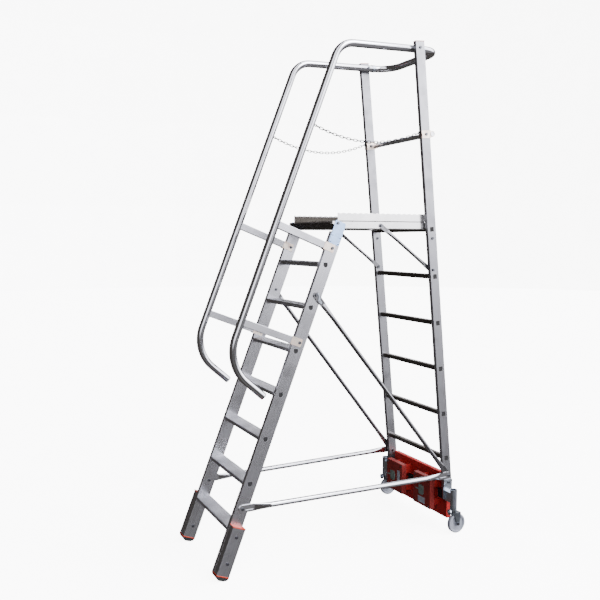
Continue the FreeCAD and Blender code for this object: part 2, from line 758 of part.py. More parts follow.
def ballast_hangers():
    """Two channels between a block and the beam."""
    y = (BALLAST_Y[1], BEAM_Y[0])
    hangers = []
    for z in ((238.0, 296.0), (120.0, 158.0)):
        x = (BALLAST_X[0] + 35.0, BALLAST_X[1] - 35.0)
        shape = box(x, y, z)
        hangers.append(shape.cut(box((x[0] + 5.0, x[1] - 5.0), (y[0] + 5.0, y[1] - 5.0), z)))
    return hangers


# ---------------------------------------------------------------- castors

def castor_bracket():
    """A plate on the outside of the rear stile with a short box arm to the socket tube."""
    plate_x = (REAR_OUTER, REAR_OUTER + 5.0)
    outline = [(683.0, 196.0), (737.0, 196.0), (746.0, 240.0), (750.0, 316.0), (689.0, 316.0), (683.0, 250.0)]
    plate = round_along(slab(outline, plate_x), ACROSS, 5.0)
    arm_x = (plate_x[1], CASTOR_X)
    arm = box(arm_x, (CASTOR_Y - 19.0, CASTOR_Y + 19.0), (188.0, 250.0))
    arm = arm.cut(box(arm_x, (CASTOR_Y - 15.0, CASTOR_Y + 15.0), (192.0, 246.0)))
    return plate.fuse(arm).cut(upright(CASTOR_X, SOCKET_RADIUS, SOCKET_Z))


def upright(x, radius, z):
    """A round bar along Z on the castor's swivel line."""
    return rod(Vector(x, CASTOR_Y, z[0]), Vector(x, CASTOR_Y, z[1]), radius)


def castor_socket():
    """The tube that holds the castor's stem, with a thick bush at its lower end."""
    bush_top = SOCKET_Z[0] + 60.0
    tube = upright(CASTOR_X, SOCKET_RADIUS, SOCKET_Z)
    tube = tube.cut(upright(CASTOR_X, SOCKET_RADIUS - 3.0, (bush_top, SOCKET_Z[1])))
    tube = tube.cut(upright(CASTOR_X, STEM_RADIUS + RUNNING_FIT, SOCKET_Z))
    pin_hole = rod(Vector(CASTOR_X, CASTOR_Y, 222.0), Vector(CASTOR_X + 30.0, CASTOR_Y - 12.0, 222.0), 2.5)
    return tube.cut(pin_hole)


def castor_fork():
    """The stem, bearing head, crown and two tapered legs of a castor."""
    inside = WHEEL_WIDTH / 2.0 + 3.0
    outside = inside + 3.5
    axle_y = CASTOR_Y + CASTOR_TRAIL
    crown_z = (2.0 * WHEEL_RADIUS + 4.0, 2.0 * WHEEL_RADIUS + 8.0)
    crown = box((CASTOR_X - outside, CASTOR_X + outside), (CASTOR_Y - 20.0, axle_y + 24.0), crown_z)
    crown = round_along(crown, TOP, 10.0)
    head = upright(CASTOR_X, 20.0, (crown_z[1], SOCKET_Z[0] - 0.4))
    stem = upright(CASTOR_X, STEM_RADIUS, (crown_z[1], SOCKET_Z[0] + 52.0))
    shape = crown.fuse([head, stem])
    outline = [
        (axle_y - 11.0, WHEEL_RADIUS), (CASTOR_Y - 6.0, crown_z[1]), (axle_y + 22.0, crown_z[1]),
        (axle_y + 11.0, WHEEL_RADIUS),
    ]
    for side in (-1.0, 1.0):
        x = sorted((CASTOR_X + side * inside, CASTOR_X + side * outside))
        leg = slab(outline, x).fuse(rod_x(x, axle_y, WHEEL_RADIUS, 11.0))
        shape = shape.fuse(leg)
    bore = rod_x((CASTOR_X - 40.0, CASTOR_X + 40.0), axle_y, WHEEL_RADIUS, AXLE_RADIUS)
    return shape.cut(bore).removeSplitter()


def castor_wheel():
    """A turned nylon wheel with a thin web between its rim and its hub."""
    half = WHEEL_WIDTH / 2.0
    bore = AXLE_RADIUS + RUNNING_FIT
    profile = [
        (-half - 2.0, bore), (-half - 2.0, 15.0), (-half + 6.0, 17.0), (-half + 6.0, WHEEL_RADIUS - 15.0),
        (-half, WHEEL_RADIUS - 12.0), (-half, WHEEL_RADIUS - 3.0), (-half + 4.0, WHEEL_RADIUS),
        (half - 4.0, WHEEL_RADIUS), (half, WHEEL_RADIUS - 3.0), (half, WHEEL_RADIUS - 12.0),
        (half - 6.0, WHEEL_RADIUS - 15.0), (half - 6.0, 17.0), (half + 2.0, 15.0), (half + 2.0, bore),
    ]
    corners = [Vector(CASTOR_X + x, CASTOR_Y + CASTOR_TRAIL, WHEEL_RADIUS + r) for x, r in profile]
    face = Part.Face(Part.makePolygon(corners + corners[:1]))
    return face.revolve(Vector(CASTOR_X, CASTOR_Y + CASTOR_TRAIL, WHEEL_RADIUS), ACROSS, 360.0)


def castor_axle():
    """The axle bolt, with a hexagon head outside the fork and a nut inside."""
    y = CASTOR_Y + CASTOR_TRAIL
    outside = WHEEL_WIDTH / 2.0 + 6.5
    axle = rod_x((CASTOR_X - outside - 8.0, CASTOR_X + outside), y, WHEEL_RADIUS, AXLE_RADIUS)
    for side in (-1.0, 1.0):
        x = sorted((CASTOR_X + side * outside, CASTOR_X + side * (outside + 6.5)))
        axle = axle.fuse(hexagon(x, y, WHEEL_RADIUS, 18.0))
    return axle.removeSplitter()


def swivel_lock():
    """A clamp screw with a wide round head, on the front of the bearing head."""
    z = (2.0 * WHEEL_RADIUS + SOCKET_Z[0] + 7.6) / 2.0
    face = CASTOR_Y - 20.0
    shank = rod(Vector(CASTOR_X, face, z), Vector(CASTOR_X, face - 6.0, z), 4.0)
    head = rod(Vector(CASTOR_X, face - 6.0, z), Vector(CASTOR_X, face - 14.0, z), 17.0)
    button = rod(Vector(CASTOR_X, face - 14.0, z), Vector(CASTOR_X, face - 19.0, z), 7.0)
    return shank.fuse([head, button]).removeSplitter()


# ---------------------------------------------------------------- chains

def chain_ends():
    """The centres of the two eyes, one behind the handrail and one before the rear stile."""
    rail_low, rail_high = rail_points()[1:3]
    share = (CHAIN_Z - rail_low.z) / (rail_high.z - rail_low.z)
    front = rail_low + (rail_high - rail_low) * share + Vector(0, RAIL_RADIUS + 11.0, 0)
    stile_front = rear_point(CHAIN_Z / math.sin(math.radians(REAR_ANGLE)), -REAR_STILE[1] / 2.0)
    rear = Vector(REAR_OUTER - REAR_STILE[0] / 2.0, stile_front.y - 10.0, CHAIN_Z)
    return front, rear


def chain_link(inner_length):
    """One welded link about the origin, long along X and flat in the plane Z = 0."""
    wire = CHAIN_WIRE / 2.0
    bend = CHAIN_WIDTH / 2.0 - wire
    straight = inner_length + CHAIN_WIRE - 2.0 * bend
    link = None
    for side in (-1.0, 1.0):
        bar = rod(Vector(-straight / 2.0, side * bend, 0), Vector(straight / 2.0, side * bend, 0), wire)
        end = Part.makeTorus(bend, wire, Vector(side * straight / 2.0, 0, 0), TOP)
        near = side * straight / 2.0
        far = side * (straight / 2.0 + bend + CHAIN_WIRE)
        end = end.common(box(sorted((near, far)), (-CHAIN_WIDTH, CHAIN_WIDTH), (-CHAIN_WIRE, CHAIN_WIRE)))
        piece = bar.fuse(end)
        link = piece if link is None else link.fuse(piece)
    return link.removeSplitter()


def chain():
    """Links hung in a shallow parabola between the eyes, each turned a quarter from the last."""
    front, rear = chain_ends()
    span = rear - front
    chord = span.Length
    arc = chord + 8.0 * CHAIN_SAG ** 2 / (3.0 * chord)
    eye = EYE_RADIUS - EYE_WIRE
    pitch = (arc - 2.0 * eye + CHAIN_PLAY) / CHAIN_COUNT
    link = chain_link(pitch + CHAIN_PLAY)
    heading = math.degrees(math.atan2(span.y, span.x))

    def slope(reach):
        return -4.0 * CHAIN_SAG / chord * (1.0 - 2.0 * reach / chord)

    links = []
    step = eye + (pitch - CHAIN_PLAY) / 2.0
    reach = 0.0
    for index in range(CHAIN_COUNT):
        middle = reach + step / 2.0
        reach += step / math.sqrt(1.0 + slope(middle) ** 2)
        step = pitch
        drop = -4.0 * CHAIN_SAG * reach / chord * (1.0 - reach / chord)
        place = front + span * (reach / chord) + Vector(0, 0, drop)
        turn = Rotation(TOP, heading) * Rotation(Vector(0, 1, 0), -math.degrees(math.atan(slope(reach))))
        turn = turn * Rotation(ACROSS, 90.0 * (index % 2))
        links.append(placed(link, Placement(place, turn)))
    return group(links)


def eye_shanks(radius):
    """The lines of the two eyes' shanks, which carry the chain and turn in their holes."""
    front, rear = chain_ends()
    way = (rear - front).normalize()
    start = EYE_RADIUS + 0.5
    return [rod(front - way * start, front - way * 14.0, radius), rod(rear + way * start, rear + way * 13.0, radius)]


def chain_eyes():
    """A ring at each end of a chain. Its shank turns in the tube's wall, with a head inside the tube."""
    front, rear = chain_ends()
    way = (rear - front).normalize()
    heads = [rod(front - way * 14.0, front - way * 16.0, 4.5), rod(rear + way * 13.0, rear + way * 15.0, 4.5)]
    eyes = []
    for centre, shank, head in zip((front, rear), eye_shanks(EYE_SHANK), heads):
        ring = Part.makeTorus(EYE_RADIUS, EYE_WIRE, centre, ACROSS)
        eyes.append(ring.fuse([shank, head]).removeSplitter())
    return group(eyes)


# ---------------------------------------------------------------- fasteners

def foot_bolts():
    return [bolt(front_point(along), SLEEVE_OUTER, FRONT_INNER) for along in (98.0, 241.0)]


def bracket_bolts():
    return [bolt(front_point(along), FRONT_OUTER + 3.0, FRONT_INNER - 3.0) for along in BAR_POSITIONS]


def brace_bolts():
    stay_top, stay_low = stay_ends()
    outer = FRONT_OUTER + LUG_THICKNESS
    return [
        bolt(front_point(LONG_BRACE_FRONT), outer, FRONT_INNER),
        bolt(front_point(LOWER_BRACE_FRONT), outer, FRONT_INNER),
        bolt(rear_point(BRACES_REAR), REAR_OUTER + 2.0 * LUG_THICKNESS, REAR_INNER),
        bolt(stay_low, REAR_INNER - 4.5, REAR_OUTER),
    ]


def stay_screw():
    """The bolt of a short stay, with its nut inside the platform beam."""
    return bolt(stay_ends()[0], FRONT_OUTER + 4.5, FRONT_OUTER - 3.0)


def rail_top_bolt():
    end = rail_points()[-1]
    y = rear_point(end.z / math.sin(math.radians(REAR_ANGLE))).y
    z = end.z + (y - end.y) * math.tan(math.radians(RAIL_TOP_ANGLE))
    return bolt(Vector(0, y, z), REAR_OUTER, RAIL_X - RAIL_RADIUS)


def knee_bolt():
    return bolt(rear_point(KNEE_RAIL_POSITION), REAR_OUTER + 3.0, REAR_INNER - 3.0)


def rung_bolt():
    """The bolt through a rear stile just below the rung that carries the platform."""
    return bolt(rear_point(PLATFORM_RUNG - 53.0), REAR_OUTER, REAR_INNER)


def castor_bolts():
    return [bolt(rear_point(along), REAR_OUTER + 5.0, REAR_INNER - BEAM_SHEET) for along in (222.0, 300.0)]


def all_bolts():
    bolts = foot_bolts() + bracket_bolts() + brace_bolts() + castor_bolts()
    return bolts + [hinge_pivot(), stay_screw(), rail_top_bolt(), knee_bolt(), rung_bolt()]


# ---------------------------------------------------------------- assembly

def drilled(shape, fasteners):
    """The shape with a hole wherever one of the fasteners runs through it."""
    for fastener in fasteners:
        if shape.BoundBox.intersect(fastener.BoundBox):
            shape = shape.cut(fastener)
    return shape


def export_pair(name, shape):
    """Writes a right-hand solid and its mirror image as two nodes."""
    export(name + "_right", shape)
    export(name + "_left", mirrored(shape))


def export(name, shape):
    shape.exportStep("parts/" + name + ".step")


def main():
    os.makedirs("parts", exist_ok=True)
    bolts = all_bolts()
    rivets = hinge_rivets()
    fixings = bolts + rivets + eye_shanks(EYE_SHANK + RUNNING_FIT)

    export_pair("front_stile", drilled(front_stile(), fixings))
    for index in range(TREAD_COUNT):
        export("tread_" + str(index + 1), tread(index))
    export("hinge_plates", both_sides([drilled(hinge_plate(), fixings)]))
    export("rivets", both_sides(rivets))
    export("bolts", both_sides(bolts))
    positions = rung_positions()
    plugs = [drilled(stile_plug(), fixings), rail_plug()]
    plugs += [tread_plug(index) for index in range(TREAD_COUNT)]
    plugs += [rung_plug(along) for along in positions]
    export("tube_plugs", both_sides(plugs))

    export_pair("foot_sleeve", drilled(foot_sleeve(), fixings))
    export("sleeve_caps", both_sides([sleeve_cap()]))
    export("foot_rims", both_sides([foot_rim()]))
    export("foot_pads", both_sides([foot_pad()]))

    export_pair("handrail", drilled(handrail(), fixings))
    export("rear_guard_tube", rear_guard_tube())
    export("guard_collars", both_sides([guard_collar()]))
    export("rail_bars", both_sides([drilled(rail_bar(along), fixings) for along in BAR_POSITIONS]))
    export("rail_brackets", both_sides([drilled(rail_bracket(along), fixings) for along in BAR_POSITIONS]))
    export("knee_rail", knee_rail())
    plates = [(REAR_INNER - 3.0, REAR_INNER), (REAR_OUTER, REAR_OUTER + 3.0)]
    export("knee_rail_brackets", both_sides([drilled(knee_rail_bracket(x), fixings) for x in plates]))

    export_pair("platform_beam", drilled(platform_beam(), fixings))
    export("platform_cross_members", cross_members())
    export("platform_deck", platform_deck())
    export("toe_boards", both_sides([toe_board()]))

    export_pair("rear_stile", drilled(rear_stile(), fixings))
    export("platform_rung", rung(positions[0]))
    export("rungs", group([rung(along) for along in positions[1:]]))
    export("rear_stile_caps", both_sides([rear_stile_cap()]))
    export("short_stays", both_sides([drilled(short_stay(), fixings)]))
    export_pair("long_brace", drilled(long_brace(), fixings))
    export_pair("brace_catch", brace_catch())
    export_pair("lower_brace", drilled(lower_brace(), fixings))

    beam = rear_beam()
    beam_fixings = bolts + [mirrored(piece) for piece in bolts]
    export("rear_beam", drilled(beam, beam_fixings))
    export("ballast_blocks", both_sides([ballast_block()]))
    export("ballast_hangers", both_sides(ballast_hangers()))

    export("castor_brackets", both_sides([drilled(castor_bracket(), fixings)]))
    export("castor_sockets", both_sides([castor_socket()]))
    export_pair("castor_fork", castor_fork())
    export_pair("castor_wheel", castor_wheel())
    export_pair("castor_axle", castor_axle())
    export_pair("swivel_lock", swivel_lock())

    export_pair("chain", chain())
    export_pair("chain_eyes", chain_eyes())


main()
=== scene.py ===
import math

import bmesh
import bpy
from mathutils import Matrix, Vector


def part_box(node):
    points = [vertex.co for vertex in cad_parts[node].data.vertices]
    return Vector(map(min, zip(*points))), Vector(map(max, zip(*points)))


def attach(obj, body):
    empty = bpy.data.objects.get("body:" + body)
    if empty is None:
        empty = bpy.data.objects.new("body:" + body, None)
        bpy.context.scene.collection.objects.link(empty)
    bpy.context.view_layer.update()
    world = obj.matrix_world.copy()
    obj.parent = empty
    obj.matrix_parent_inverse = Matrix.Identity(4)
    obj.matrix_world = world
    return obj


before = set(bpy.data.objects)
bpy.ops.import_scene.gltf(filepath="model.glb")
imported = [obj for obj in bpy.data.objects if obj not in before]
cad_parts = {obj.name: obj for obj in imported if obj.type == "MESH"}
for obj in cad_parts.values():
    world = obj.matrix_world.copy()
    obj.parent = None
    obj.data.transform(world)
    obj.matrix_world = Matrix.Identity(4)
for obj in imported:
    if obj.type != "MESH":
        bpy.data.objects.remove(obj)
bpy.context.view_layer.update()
ROOT = "ladder"

# What the metal reflects. Walls: compass angle from +X, inner and outer half width in degrees, brightness.
WALLS = ((338.0, 16.0, 27.0, 3.0), (57.0, 35.0, 46.0, 7.0), (128.0, 12.0, 24.0, 0.30))
# The walls fade between these two heights of the unit direction, to the third number's share below.
HORIZON = (-0.12, 0.17, 0.030)
# Soft box: direction, outer and inner cosine, brightness
SOFT_BOX = ((-0.85, 0.43, 0.33), 0.955, 0.99, 2.6)
# The even glow that reaches every side, and the tint of the walls and the soft box
DARK_SIDE = (0.095, 0.088, 0.082)
STUDIO_TINT = (0.985, 0.98, 1.04)

# The key light's place, the point it looks at, its side and its power
KEY_PLACE = (3.0, 1.6, 5.2)
KEY_TARGET = (0.0, 0.2, 1.2)
KEY_SIDE = 1.6
KEY_POWER = 150.0

# The pale floor and dome
FLOOR_REACH = 24.0
DOME_RADIUS = 23.0
BACKDROP_GLOW = 9.0

# The camera, with its downward tilt and its turn from the view along +Y in degrees
CAMERA_PLACE = (3.6723, -2.0251, 1.7843)
CAMERA_DIP = 4.88
CAMERA_TURN = 62.91
CAMERA_LENS = 42.5

# How the two frames lean: the front stiles rise at 68.5 degrees and the rear stiles at 84.4.
FRONT_TILT = math.radians(68.5 - 90.0)
REAR_TILT = math.radians(90.0 - 84.4)

# The size of the drawing lines, fine across the metal and long along it
FINE_LINE = 0.0012
LONG_LINE = 0.6
UPWARD = (FINE_LINE, FINE_LINE, LONG_LINE)
CROSSWISE = (LONG_LINE, FINE_LINE, FINE_LINE)
FORWARD = (FINE_LINE, LONG_LINE, FINE_LINE)

# Ballast fronts: grips and labels as (x, z) of two corners, and the screws round each block's middle.
# One grip is on the left block and one is on the right block, GRIP_SHIFT apart.
GRIP_SHIFT = -0.313
GRIP_PLATE = ((0.121, 0.181), (0.173, 0.244))
GRIP_PLATE_RADII = (0.004, 0.018, 0.018, 0.004)
GRIP_PLATE_DEPTH = 0.003
GRIP_TAB = ((0.090, 0.206), (0.121, 0.214))
GRIP_TAB_DEPTH = 0.002
LABELS = (((0.113, 0.130), (0.183, 0.170)), ((-0.116, 0.172), (-0.086, 0.262)))
LABEL_DEPTH = 0.0006
SMALL_RADII = (0.002,) * 4
BLOCK_CENTRES = (-0.149, 0.149)
SCREW_SPREAD = 0.074
SCREW_HEIGHTS = (0.127, 0.295)
SCREW_RADIUS = 0.006
SCREW_HEAD = 0.003
SCREW_SIDES = 16

# The chequer pattern: the diamonds' pitch, and their half length, half width and height.
# It stands on a thin lining inside each toe board, and straight on the nosing; lining and pattern are
# near-black, painted shade.
TOE_PITCH = (0.0125, 0.0065)
TOE_DIAMOND = (0.0045, 0.0026, 0.0014)
TOE_PATTERN_HEIGHT = 0.040
TOE_PLATE = 0.0035
LINING = 0.0006
NOSE_PITCH = (0.0125, 0.0072)
NOSE_DIAMOND = (0.0050, 0.0030, 0.0018)
NOSE_HALF_WIDTH = 0.243
DIAMOND_TOP = 0.45
# The nosing's sloping face, as (y, z) from the deck's low corner
NOSE_TOP = (-0.0062, -0.0085)
NOSE_FOOT = (0.0459, -0.0420)

# Dark panels in the beam's windows that paint the shade inside the hollow beam, and the thin upright rib near
# each panel's right end
WINDOWS = ((-0.266, -0.180), (-0.134, 0.134), (0.180, 0.266))
PANEL_DEPTHS = (0.0041, 0.0056)
PANEL_HEIGHTS = (0.161, 0.232)
RIB_FROM_END = (0.034, 0.031)
RIB_DEPTHS = (0.0020, 0.0041)
RIB_HEIGHTS = (0.165, 0.228)

# The dark strip in the toe board's groove, a painted shadow of the groove: its depths from the outer face,
# its end gap and its heights
GROOVE_SHADE_DEPTHS = (0.0018, 0.0003)
GROOVE_SHADE_END = 0.001
GROOVE_SHADE_HEIGHTS = (0.0001, 0.0049)


# ---------------------------------------------------------------- materials

class Shader:
    """A Principled material with helpers for procedural detail in the object's own space."""

    def __init__(self, name, metallic, roughness):
        self.material = bpy.data.materials.new(name)
        self.material.use_nodes = True
        self.tree = self.material.node_tree
        self.bsdf = self.tree.nodes["Principled BSDF"]
        self.bsdf.inputs["Metallic"].default_value = metallic
        self.bsdf.inputs["Roughness"].default_value = roughness
        self.coords = self.node("ShaderNodeTexCoord").outputs["Object"]

    def node(self, kind, **settings):
        node = self.tree.nodes.new(kind)
        for key, value in settings.items():
            setattr(node, key, value)
        return node

    def link(self, start, end):
        self.tree.links.new(start, end)

    def stretched(self, scale, tilt=0.0):
        """Coordinates divided by a scale on each axis, after turning back a tilt about X."""
        mapping = self.node("ShaderNodeMapping", vector_type="TEXTURE")
        mapping.inputs["Rotation"].default_value = (tilt, 0.0, 0.0)
        mapping.inputs["Scale"].default_value = scale
        self.link(self.coords, mapping.inputs["Vector"])
        return mapping.outputs["Vector"]

    def noise(self, vector, scale, detail=4.0, roughness=0.55):
        noise = self.node("ShaderNodeTexNoise")
        noise.inputs["Scale"].default_value = scale
        noise.inputs["Detail"].default_value = detail
        noise.inputs["Roughness"].default_value = roughness
        self.link(vector, noise.inputs["Vector"])
        return noise.outputs["Fac"]

    def ramp(self, value, stops):
        ramp = self.node("ShaderNodeValToRGB")
        elements = ramp.color_ramp.elements
        while len(elements) < len(stops):
            elements.new(0.5)
        for element, (position, colour) in zip(elements, stops):
            element.position = position
            element.color = (*colour, 1.0)
        self.link(value, ramp.inputs["Fac"])
        return ramp.outputs["Color"]

    def span(self, value, low, high, to_low, to_high):
        """Maps a value from one range to another."""
        ranged = self.node("ShaderNodeMapRange")
        for socket, number in zip(("From Min", "From Max", "To Min", "To Max"), (low, high, to_low, to_high)):
            ranged.inputs[socket].default_value = number
        self.link(value, ranged.inputs["Value"])
        return ranged.outputs["Result"]

    def multiply(self, first, second, factor=1.0):
        mix = self.node("ShaderNodeMix", data_type="RGBA", blend_type="MULTIPLY")
        mix.inputs["Factor"].default_value = factor
        self.link(first, mix.inputs["A"])
        self.link(second, mix.inputs["B"])
        return mix.outputs["Result"]

    def bump(self, height, distance, strength=1.0, base=None):
        bump = self.node("ShaderNodeBump")
        bump.inputs["Strength"].default_value = strength
        bump.inputs["Distance"].default_value = distance
        self.link(height, bump.inputs["Height"])
        if base is not None:
            self.link(base, bump.inputs["Normal"])
        self.link(bump.outputs["Normal"], self.bsdf.inputs["Normal"])
        return bump.outputs["Normal"]

    def colour(self, output):
        self.link(output, self.bsdf.inputs["Base Color"])

    def rough(self, output):
        self.link(output, self.bsdf.inputs["Roughness"])


def shade(colour, factor):
    return tuple(min(1.0, channel * factor) for channel in colour)


def drawn_metal(name, colour, rough, along, tilt=0.0, streak=0.12, metallic=1.0, grain=0.00006):
    """Extruded or drawn metal: fine lines along its length, soft handling marks and a little dirt."""
    shader = Shader(name, metallic, rough)
    lines = shader.noise(shader.stretched(along, tilt), 1.0, 3.0, 0.6)
    patches = shader.noise(shader.coords, 9.0, 5.0, 0.6)
    marks = shader.noise(shader.coords, 55.0, 3.0, 0.5)
    dull, bright = shade(colour, 1.0 - streak), shade(colour, 1.0 + streak * 0.6)
    tint = shader.ramp(lines, [(0.32, dull), (0.68, bright)])
    dirt = shader.ramp(patches, [(0.25, (0.80, 0.80, 0.81)), (0.55, (1.0, 1.0, 1.0))])
    specks = shader.ramp(marks, [(0.22, (0.86, 0.86, 0.87)), (0.34, (1.0, 1.0, 1.0))])
    shader.colour(shader.multiply(shader.multiply(tint, dirt), specks, 0.7))
    shader.rough(shader.span(patches, 0.3, 0.7, rough * 1.25, rough * 0.8))
    first = shader.bump(lines, grain)
    shader.bump(marks, 0.00004, 0.5, first)
    return shader.material


def plated(name, colour, rough, mottle=0.1, scale=30.0, metallic=1.0):
    """Zinc plate: a faint spangle and uneven brightness."""
    shader = Shader(name, metallic, rough)
    cells = shader.node("ShaderNodeTexVoronoi")
    cells.inputs["Scale"].default_value = scale * 5.0
    shader.link(shader.coords, cells.inputs["Vector"])
    cloud = shader.noise(shader.coords, scale, 5.0, 0.62)
    tint = shader.ramp(cloud, [(0.3, shade(colour, 1.0 - mottle)), (0.7, shade(colour, 1.0 + mottle))])
    spangle = shader.ramp(cells.outputs["Distance"],
                          [(0.0, (0.93, 0.93, 0.93)), (0.6, (1.0, 1.0, 1.0))])
    shader.colour(shader.multiply(tint, spangle))
    shader.rough(shader.span(cloud, 0.3, 0.7, rough * 1.3, rough * 0.75))
    shader.bump(cloud, 0.00008)
    return shader.material


def powder_coat(name, colour, rough):
    """Powder coat: a fine orange peel, worn a little lighter in patches."""
    shader = Shader(name, 0.0, rough)
    peel = shader.noise(shader.coords, 420.0, 2.0, 0.5)
    cloud = shader.noise(shader.coords, 9.0, 4.0, 0.5)
    chips = shader.noise(shader.coords, 120.0, 4.0, 0.7)
    tint = shader.ramp(cloud, [(0.3, shade(colour, 0.90)), (0.7, shade(colour, 1.08))])
    worn = shader.ramp(chips, [(0.22, (0.62, 0.56, 0.56)), (0.29, (1.0, 1.0, 1.0))])
    shader.colour(shader.multiply(tint, worn, 0.4))
    shader.rough(shader.span(cloud, 0.3, 0.7, rough * 1.2, rough * 0.85))
    shader.bump(peel, 0.00012, 0.6)
    shader.bsdf.inputs["Specular IOR Level"].default_value = 0.25
    return shader.material


def moulded(name, colour, rough, grain=260.0, depth=0.0001, scuff=0.25):
    """Moulded plastic or rubber: a fine grain and duller scuffs."""
    shader = Shader(name, 0.0, rough)
    fine = shader.noise(shader.coords, grain, 3.0, 0.5)
    cloud = shader.noise(shader.coords, 24.0, 6.0, 0.65)
    tint = shader.ramp(cloud, [(0.3, shade(colour, 1.0 - scuff)), (0.7, shade(colour, 1.0 + scuff))])
    shader.colour(tint)
    shader.rough(shader.span(cloud, 0.3, 0.7, rough * 1.15, rough * 0.85))
    shader.bump(fine, depth, 0.7)
    return shader.material


ALUMINIUM = (0.60, 0.605, 0.64)
FRONT_STILE = drawn_metal("front_stile_aluminium", ALUMINIUM, 0.25, UPWARD, FRONT_TILT)
# Painted shade: the rear stiles take a darker copy of the aluminium for the shade on their lower parts.
REAR_STILE = drawn_metal("rear_stile_aluminium_shaded", shade(ALUMINIUM, 0.62), 0.34, UPWARD, REAR_TILT)
SLEEVE = drawn_metal("sleeve_aluminium", shade(ALUMINIUM, 0.82), 0.3, UPWARD, FRONT_TILT)
ACROSS = drawn_metal("crosswise_aluminium", shade(ALUMINIUM, 0.86), 0.40, CROSSWISE)
# Painted shade: the rungs' aluminium is coloured dark brown for the shade and dark reflections on them.
RUNG = drawn_metal("rung_aluminium", (0.125, 0.112, 0.10), 0.45, CROSSWISE, REAR_TILT)
BAR = drawn_metal("bar_aluminium", ALUMINIUM, 0.34, FORWARD, FRONT_TILT)
TUBE = drawn_metal("polished_tube", (0.66, 0.665, 0.70), 0.11, (0.02, 0.02, 0.02),
                   streak=0.05, grain=0.00001)
BRACE = drawn_metal("brace_steel", (0.24, 0.24, 0.25), 0.22, (0.02, 0.05, 0.05),
                    streak=0.08, grain=0.00002)
DECK = drawn_metal("chequer_plate", (0.60, 0.59, 0.58), 0.4, (0.4, 0.0015, 0.0015), streak=0.1)
PLATE = drawn_metal("platform_side_plate", (0.97, 0.965, 0.96), 0.20, (0.0015, 0.4, 0.0015),
                    streak=0.04, metallic=0.9)
# Painted shade: a near-black pressed plate for the toe boards' inner faces, the nosing and the cross members
# under the deck.
SHADOW_STEEL = drawn_metal("pressed_plate_painted_shade", (0.055, 0.048, 0.04), 0.5, (0.4, 0.0015, 0.0015),
                           streak=0.2, metallic=0.6)
ZINC = plated("bright_zinc", (0.50, 0.55, 0.62), 0.3)
FORK_ZINC = plated("castor_zinc", (0.20, 0.225, 0.25), 0.32)
BLUE_ZINC = plated("blue_zinc", (0.42, 0.60, 0.90), 0.34)
YELLOW_ZINC = plated("yellow_zinc", (1.0, 0.76, 0.66), 0.36, mottle=0.22)
DARK_ZINC = plated("fastener_zinc", (0.13, 0.135, 0.15), 0.3)
CHAIN = plated("chain_zinc", (0.012, 0.014, 0.017), 0.55, mottle=0.2, scale=60.0, metallic=0.10)
RED_PAINT = powder_coat("red_powder_coat", (0.40, 0.020, 0.019), 0.5)
# Painted shade: a darker copy of the red powder coat for the ballast blocks, whose fronts lie in shade.
RED_SHADED = powder_coat("red_powder_coat_shaded", (0.22, 0.024, 0.021), 0.52)
RED_PLASTIC = moulded("red_plastic", (0.50, 0.045, 0.02), 0.45)
# Black plastic end plugs, coloured near-black so they also paint the shade inside the open tube ends.
BLACK_PLASTIC_END_SHADE = moulded("black_plastic", (0.006, 0.006, 0.007), 0.72)
RUBBER = moulded("black_rubber", (0.010, 0.010, 0.011), 0.7, grain=180.0, depth=0.0002)
NYLON = moulded("white_nylon", (0.30, 0.32, 0.37), 0.42, grain=200.0, depth=0.00006, scuff=0.06)
GREEN_INSET = moulded("grey_green_plastic", (0.16, 0.20, 0.18), 0.5)
LABEL = moulded("plain_label", (0.34, 0.36, 0.42), 0.5, grain=300.0, depth=0.00004, scuff=0.12)
# Painted shade: a near-black panel that stands in for the shade inside the beam's windows.
WINDOW_SHADE = moulded("window_panel_painted_shade", (0.016, 0.021, 0.024), 0.5)
# Painted shadow: a dark strip laid in the toe boards' grooves.
GROOVE_SHADE = moulded("groove_painted_shade", (0.03, 0.024, 0.02), 0.6)


def dress(material, *names):
    """Gives the CAD nodes of these names a material."""
    for name in names:
        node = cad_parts[name]
        for slot in node.material_slots:
            slot.material = material


def pair(name):
    return name + "_right", name + "_left"


dress(FRONT_STILE, *pair("front_stile"))
dress(REAR_STILE, *pair("rear_stile"))
dress(SLEEVE, *pair("foot_sleeve"))
dress(BAR, "rail_bars")
dress(ACROSS, *["tread_%d" % (index + 1) for index in range(7)])
dress(RUNG, "platform_rung", "rungs")
dress(TUBE, *pair("handrail"), "rear_guard_tube", "knee_rail", *pair("lower_brace"))
dress(BRACE, "short_stays", *pair("long_brace"))
dress(DECK, "platform_deck")
dress(PLATE, "toe_boards", *pair("platform_beam"))
dress(SHADOW_STEEL, "platform_cross_members")
dress(BLUE_ZINC, "hinge_plates", "rivets")
dress(ZINC, "guard_collars", "castor_brackets", "castor_sockets", *pair("swivel_lock"), *pair("brace_catch"))
dress(FORK_ZINC, *pair("castor_fork"))
dress(YELLOW_ZINC, "rail_brackets", "knee_rail_brackets")
dress(DARK_ZINC, "bolts", *pair("castor_axle"))
dress(CHAIN, *pair("chain"), *pair("chain_eyes"))
dress(RED_PAINT, "rear_beam", "ballast_hangers")
dress(RED_SHADED, "ballast_blocks")
dress(RED_PLASTIC, "sleeve_caps", "foot_rims", "rear_stile_caps")
dress(BLACK_PLASTIC_END_SHADE, "tube_plugs")
dress(RUBBER, "foot_pads")
dress(NYLON, *pair("castor_wheel"))


# ---------------------------------------------------------------- added pieces

